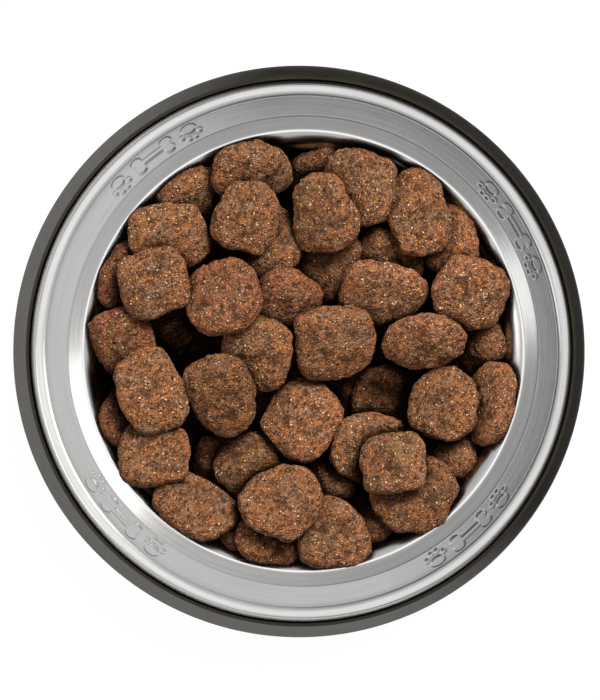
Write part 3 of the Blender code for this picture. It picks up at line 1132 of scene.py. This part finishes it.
@dataclass
class Studio:
    """A white floor, a pale surround, soft lamps, a glowing sheet that paints dark reflections, and
    the camera. In metres.
    """

    horizon: float = 0.10
    zenith: float = 1.00
    fill: float = 0.20
    painted_overhead_highlight: float = 1.30
    left_glow: float = 0.65
    floor_shade: float = 0.16
    floor_half: float = 3.0
    floor_depth: float = 0.0002
    white: float = 1.06
    glow: float = 0.96
    # the card is a painted reflection: its glow is card_near at the foot ring and card_far further
    # out
    card_height: float = 0.0001
    card_grid: tuple[int, int] = (80, 16)
    card_inner: float = 0.0835
    card_outer: float = 0.200
    card_near: float = 0.02
    card_far: float = 0.36
    card_taper: float = 0.18
    card_from_deg: float = -68.0
    card_to_deg: float = 128.0
    eye: tuple[float, float, float] = (-0.0275, -0.003, 1.0)
    aim: tuple[float, float, float] = (0.00013, 0.0004, 0.0)
    card_fade: tuple[float, float] = (0.1, 0.5)
    sky_range: tuple[float, float] = (0.2, 0.9)
    glow_range: tuple[float, float] = (0.90, 0.985)
    left_way: tuple[float, float] = (-0.93, -0.35)
    left_range: tuple[float, float] = (-0.3, 0.8)
    lens_mm: float = 207.8
    sensor_mm: float = 36.0
    clip: tuple[float, float] = (0.01, 20.0)
    lamps: tuple[Softbox, ...] = (
        Softbox("overhead", 60.0, 54.0, 1.5, 0.50, 31.0, is_mirrored=False),
        Softbox("key_left", 204.0, 40.0, 1.0, 0.60, 2.6, (1.0, 0.97, 0.92)),
        Softbox("right", 15.0, 40.0, 1.0, 0.30, 0.5),
    )

    def _rays(self, sheet: Sheet) -> Wire:
        """1 for camera, glossy and transmission rays, and 0 for the rest."""
        path = sheet.node("LightPath", output="Is Camera Ray")
        total = path + path.beside("Is Glossy Ray") + path.beside("Is Transmission Ray")
        total.socket.node.use_clamp = True
        return total

    def build_floor(self) -> bpy.types.Object:
        """A floor that the camera sees as white and that keeps the bowl's soft shadow."""
        sheet = Sheet("white_floor")
        seen = self._rays(sheet)
        levels = (self.floor_shade, self.white - self.glow)
        shade = sheet.blend(seen, *((level,) * 3 for level in levels))
        matte = sheet.node("BsdfDiffuse", {"Color": shade})
        glow = sheet.node("Emission", {"Strength": seen * self.glow})
        both = sheet.node("AddShader", {0: matte, 1: glow})
        mesh = bpy.data.meshes.new("floor")
        signs = ((-1, -1), (1, -1), (1, 1), (-1, 1))
        spots = [(x * self.floor_half, y * self.floor_half, -self.floor_depth) for x, y in signs]
        mesh.from_pydata(spots, [], [(0, 1, 2, 3)])
        mesh.materials.append(sheet.finish(both))
        floor = linked("floor", mesh)
        return floor

    def build_painted_reflection(self) -> bpy.types.Object:
        """A painted dark reflection: a glowing sheet on the floor, round the right of the bowl,
        that only reflections show.

        It is black at the foot ring, grey further out, and fades to the floor's white at both
        ends, so that nothing on the bowl reflects a hard edge.
        """
        bearings, far = self.card_grid
        share, out = np.linspace(0.0, 1.0, bearings)[:, None], np.linspace(0.0, 1.0, far)[None, :]
        turn = np.radians(self.card_from_deg + share * (self.card_to_deg - self.card_from_deg))
        radius = self.card_inner + (self.card_outer - self.card_inner) * out
        height = np.full_like(radius * turn, self.card_height)
        spots = np.stack([np.cos(turn) * radius, np.sin(turn) * radius, height])
        taper = smooth_step(0.0, self.card_taper, np.minimum(share, 1.0 - share))
        faded = smooth_step(*self.card_fade, out)
        outward = self.card_near + (self.card_far - self.card_near) * faded
        # painted reflection: the sheet's glow, dark at the ring and fading to the floor's white
        white = self.glow + (outward - self.glow) * taper
        cell = np.arange(bearings * far).reshape(bearings, far)
        corners = (cell[:-1, :-1], cell[1:, :-1], cell[1:, 1:], cell[:-1, 1:])
        mesh = bpy.data.meshes.new("painted_reflection_card")
        faces = np.stack(corners, axis=-1).reshape(-1, 4)
        mesh.from_pydata(spots.reshape(3, -1).T.tolist(), [], faces.tolist())
        layer = mesh.attributes.new("white", "FLOAT", "POINT")
        layer.data.foreach_set("value", white.astype(np.float32).ravel())
        sheet = Sheet("painted_reflection_card")
        level = sheet.node("Attribute", output="Fac", attribute_name="white")
        glow = sheet.node("Emission", {"Strength": level})
        mesh.materials.append(sheet.finish(glow))
        card = linked("painted_reflection_card", mesh)
        card.visible_camera = card.visible_diffuse = card.visible_shadow = False
        return card

    def build_world(self) -> None:
        """A plain surround: white to the camera, brightest overhead and on the left, with a painted
        highlight near the zenith and a painted brightening that only reflections see.
        """
        world = bpy.data.worlds.new("surround")
        bpy.context.scene.world = world
        world.use_nodes = True
        sheet = Sheet.of_world(world)
        way = sheet.node("TexCoord", output="Generated")
        x, y, z = sheet.split("SeparateXYZ", way)
        up = z.step(*self.sky_range)
        left = weighed((x, y), self.left_way).step(*self.left_range)
        level = up * self.zenith + (1 - up) * (left * self.left_glow + self.horizon)
        path = sheet.node("LightPath", output="Is Camera Ray")
        mirror = path.beside("Is Glossy Ray")
        # painted highlight: a glow near the zenith that only reflections see
        spot = z.step(*self.glow_range) * mirror * self.painted_overhead_highlight
        # reflections see the whole surround, other rays only its fill share: the rest is painted
        # reflection
        dimmed = level * (mirror * (1 - self.fill) + self.fill) + spot
        strength = path + (1 - path) * dimmed
        sockets = {"Color": (1.0, 1.0, 1.0), "Strength": strength}
        back = sheet.node("Background", sockets)
        end = sheet.tree.nodes.new("ShaderNodeOutputWorld")
        sheet.tree.links.new(back.socket, end.inputs["Surface"])

    def build_camera(self) -> bpy.types.Object:
        """The camera above the bowl, a little to the left of its middle, with +Y up the frame."""
        lens = bpy.data.cameras.new("camera")
        lens.sensor_fit = "HORIZONTAL"
        lens.sensor_width = self.sensor_mm
        lens.lens = self.lens_mm
        lens.clip_start, lens.clip_end = self.clip
        back = (Vector(self.eye) - Vector(self.aim)).normalized()
        right = Vector((0.0, 1.0, 0.0)).cross(back).normalized()
        turn = Matrix((right, back.cross(right), back)).transposed().to_4x4()
        turn.translation = Vector(self.eye)
        camera = linked("camera", lens)
        camera.matrix_world = turn
        bpy.context.scene.camera = camera
        return camera

    def build(self) -> None:
        """Makes the floor, the surround, the lamps and the camera."""
        bpy.context.scene.view_settings.view_transform = "Standard"
        self.build_floor()
        self.build_painted_reflection()
        self.build_world()
        self.build_camera()
        for lamp in self.lamps:
            lamp.build()


def main() -> None:
    """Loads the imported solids, dresses them, and sets the studio."""
    logging.basicConfig(level=logging.INFO, format="%(name)s: %(message)s")
    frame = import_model()
    Studio().build()
    bowl = PressedBowl()
    pieces = [bowl.build(SpunSteel().build()), FootRing(bowl).build(MouldedRubber().build())]
    pieces += KibbleHeap().build(frame["nodes"], BakedKibble().build())
    for piece in pieces:
        LOG.info("%s: %d faces", piece.name, len(piece.data.polygons))


if __name__ == "__main__":
    main()
